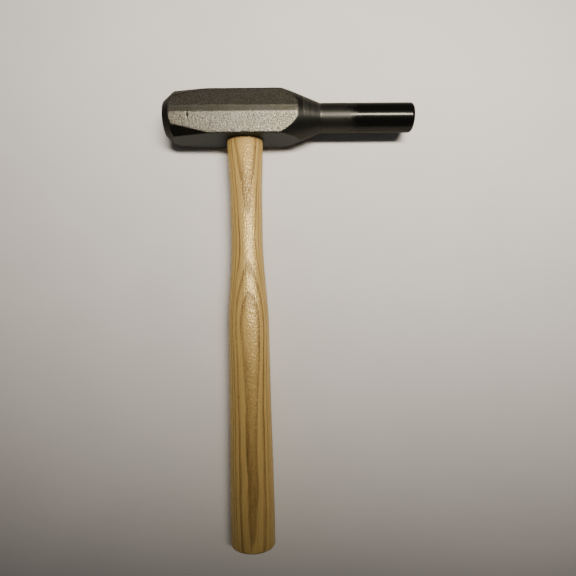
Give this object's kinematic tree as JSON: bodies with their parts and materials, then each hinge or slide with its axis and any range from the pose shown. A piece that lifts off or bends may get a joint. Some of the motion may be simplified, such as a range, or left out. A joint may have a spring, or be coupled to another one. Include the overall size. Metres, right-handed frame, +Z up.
{
  "type": "handled round punch",
  "caption": "Struck blacksmith's tool: a forged steel head with a flat struck face and a long round punch, wedged on an ash handle.",
  "frame": {"origin": "Under the middle of the tool's bounding box, on the surface that it lies on", "axes": "+X is the way the punch points, +Y runs along the handle from the butt to the head, and +Z is up through the cheeks"},
  "size_m": [0.22, 0.3942, 0.0409],
  "materials": {
    "forged_steel": "forged, blasted and oiled, with a turned and polished punch",
    "lacquered_ash": "clear lacquer",
    "wedge_wood": "sawn end grain",
    "wedge_steel": "hammered flush"
  },
  "bodies": {
    "root": {"punch_head": "forged_steel", "handle": "lacquered_ash", "wooden_wedge": "wedge_wood", "steel_wedge_struck_side": "wedge_steel", "steel_wedge_punch_side": "wedge_steel"}
  },
  "joints": []
}
